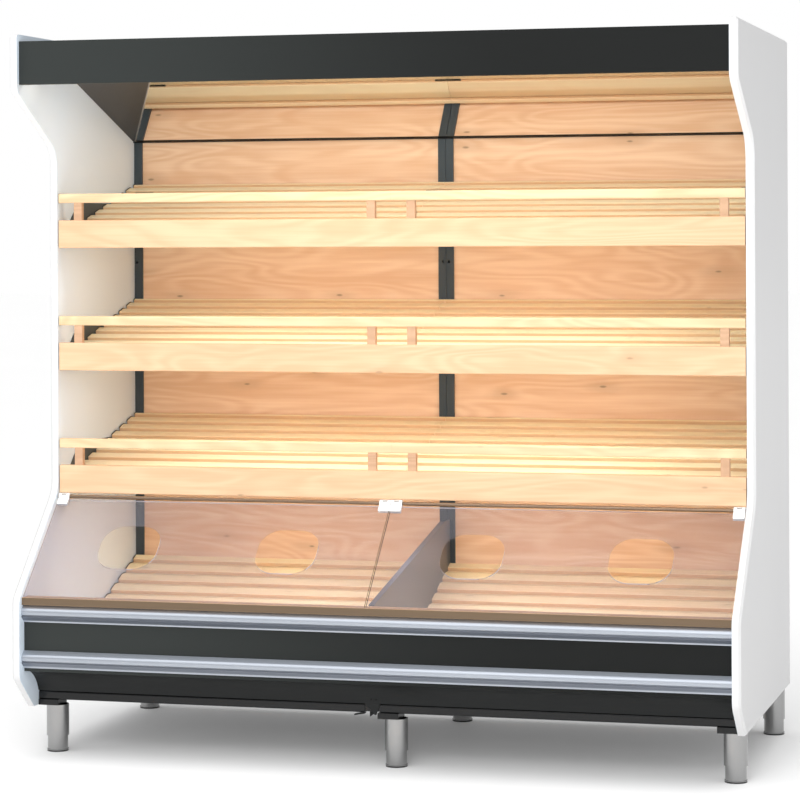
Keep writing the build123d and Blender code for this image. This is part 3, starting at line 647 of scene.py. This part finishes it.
def slat_end_shadow_plates(material):
    """Black plates that close the slats' outer ends, as painted shade for the shadowed gap against the
    panels; they show as a thin line around the slats.
    """
    thickness, outward, forward, upward = 0.0008, 0.001, 0.0004, 0.0022
    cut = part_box("bin_slats_right")[1][0] - thickness
    for deck in ("shelf_1", "shelf_2", "shelf_3", "bin"):
        for side, way in (("left", -1.0), ("right", 1.0)):
            bpy.ops.object.select_all(action="DESELECT")
            mesh = NODES[f"{deck}_slats_{side}"].data.copy()
            plate = bpy.data.objects.new(f"{deck}_end_shadow_plate_{side}", mesh)
            bpy.context.collection.objects.link(plate)
            plate.select_set(True)
            bpy.context.view_layer.objects.active = plate
            bpy.ops.object.mode_set(mode="EDIT")
            bpy.ops.mesh.select_all(action="SELECT")
            bpy.ops.mesh.remove_doubles(threshold=0.00001)
            bpy.ops.mesh.bisect(plane_co=(way * cut, 0.0, 0.0), plane_no=(way, 0.0, 0.0),
                                use_fill=True, clear_inner=True)
            bpy.ops.mesh.select_all(action="SELECT")
            bpy.ops.transform.translate(value=(way * outward, -forward, upward))
            done(plate, material)


def make_fittings():
    """The small pieces that the CAD nodes lack."""
    black = painted_sheet("fitting_black", (0.008, 0.008, 0.008), 0.4, 0.3)
    steel = stainless_steel("screw_steel", "x", (0.5, 0.5, 0.5), 0.3)
    rear_cover_screws(steel)
    rear_cover_strip(painted_sheet("strip_sheet", GREY_TONE, 0.45))
    joint_screws(black)
    lamp_end_caps(painted_sheet("cap_grey", (0.35, 0.35, 0.35), 0.4))
    deck_hooks(black)
    board_joint_strips(wood("joint_wood", *BOARD_TONES, seed=17.0, knot=0.0))
    # Black plates at the slat ends stand in for the shadow in the gap against the panels
    slat_end_shadow_plates(black)


# Floor, light and camera


def make_floor():
    """A pale studio floor that glows a little, so that it meets the backdrop unseen."""
    bpy.ops.object.select_all(action="DESELECT")
    bpy.ops.mesh.primitive_circle_add(vertices=96, radius=60.0, fill_type="NGON")
    floor = bpy.context.object
    floor.name = "studio_floor"
    finish = Finish("studio_floor")
    cloud = finish.noise(finish.point(), 0.4, 2.0)
    finish.feed("Base Color", finish.mix(cloud, (0.91, 0.91, 0.91), (0.93, 0.93, 0.93)))
    finish.feed("Roughness", 0.6 + cloud * 0.05)
    finish.feed("Specular IOR Level", 0.1)
    finish.feed("Emission Color", (1.0, 1.0, 1.0))
    finish.feed("Emission Strength", 0.08)
    floor.data.materials.append(finish.material)


def make_world():
    """Even pale light from all around, seen as white behind the unit."""
    world = bpy.data.worlds.new("studio")
    world.use_nodes = True
    bpy.context.scene.world = world
    nodes, links = world.node_tree.nodes, world.node_tree.links
    background = nodes["Background"]
    path = nodes.new("ShaderNodeLightPath")
    shade = nodes.new("ShaderNodeMix")
    shade.inputs["A"].default_value = ROOM_LIGHT
    shade.inputs["B"].default_value = BACKDROP_WHITE
    links.new(path.outputs["Is Camera Ray"], shade.inputs["Factor"])
    links.new(shade.outputs["Result"], background.inputs["Strength"])
    background.inputs["Color"].default_value = (1.0, 1.0, 1.0, 1.0)


def face(lamp, place, aim):
    """Turns a lamp at place towards aim."""
    way = Vector(aim) - Vector(place)
    lamp.rotation_euler = way.to_track_quat("-Z", "Y").to_euler()


def area_light(name, place, aim, size, power, colour=(1.0, 1.0, 1.0)):
    """A soft rectangular lamp at place that faces aim. Only the large ones show in glossy surfaces."""
    bpy.ops.object.select_all(action="DESELECT")
    bpy.ops.object.light_add(type="AREA", location=place)
    lamp = bpy.context.object
    lamp.name = name
    lamp.data.shape = "RECTANGLE"
    lamp.data.size, lamp.data.size_y = size
    lamp.data.energy = power
    lamp.data.color = colour
    lamp.visible_camera = False
    lamp.visible_glossy = size[0] > 1.0 and size[1] > 1.0
    face(lamp, place, aim)


def sky_light(name, place, strength, spread):
    """A wide soft light from far away, in the direction of place."""
    bpy.ops.object.select_all(action="DESELECT")
    bpy.ops.object.light_add(type="SUN", location=place)
    lamp = bpy.context.object
    lamp.name = name
    lamp.data.energy = strength
    lamp.data.angle = math.radians(spread)
    face(lamp, place, (0.0, 0.0, 0.0))


def make_lights():
    """Softboxes around the unit, a glow from above, and weak fills under the canopy and the shelves."""
    area_light("front_softbox", (0.1, -4.2, 2.6), (0.0, 0.0, 0.9), (3.0, 2.6), 32.0)
    area_light("low_softbox", (0.2, -5.0, 1.35), (0.0, 0.0, 1.0), (3.4, 0.9), 16.0)
    area_light("tall_softbox", (0.6, -3.4, 1.35), (-0.3, 0.1, 0.95), (0.6, 1.8), 25.0)
    area_light("right_softbox", (5.0, -1.5, 1.8), (0.9, 0.0, 0.9), (3.0, 2.5), 12.0)
    area_light("left_softbox", (-4.6, -2.6, 2.2), (0.0, 0.0, 0.9), (2.0, 3.0), 25.0)
    sky_light("overhead_glow", (0.0, -0.35, 1.0), 2.15, 80.0)
    area_light("canopy_fill", (0.0, -0.3, 1.76), (0.0, 0.2, 1.35), (1.4, 0.1), 2.2, (1.0, 0.96, 0.9))
    under_top_board = 1.335
    for shelf, power in zip(SHELVES, (2.2, 2.4, 3.6)):
        z = under_top_board - SHELF_SPACING * (shelf - 1)
        area_light(f"bay_fill_{shelf}", (0.0, -0.12, z), (0.0, -0.02, z - 0.3), (1.4, 0.06), power)


def make_camera():
    """Stands level, on the unit's right, where the photograph was taken from."""
    place = (1.974, -7.315, 1.370)
    turn_left, roll = 15.295, -0.0046
    lens = bpy.data.cameras.new("camera")
    lens.sensor_width = 36.0
    lens.lens = 126.7
    lens.shift_x = 0.0008
    lens.shift_y = -0.2058
    lens.clip_end = 200.0
    camera = bpy.data.objects.new("camera", lens)
    bpy.context.collection.objects.link(camera)
    heading = Matrix.Rotation(math.radians(turn_left), 4, "Z")
    level = Matrix.Rotation(math.radians(90.0), 4, "X")
    tilt = Matrix.Rotation(roll, 4, "Z")
    camera.matrix_world = Matrix.Translation(place) @ heading @ level @ tilt
    bpy.context.scene.camera = camera


def plain_colours():
    """Colours are shown as they are, with no film look."""
    bpy.context.scene.view_settings.view_transform = "Standard"


dress_wood()
dress_sheets()
dress_fittings()
make_fittings()
make_floor()
make_world()
make_lights()
make_camera()
plain_colours()
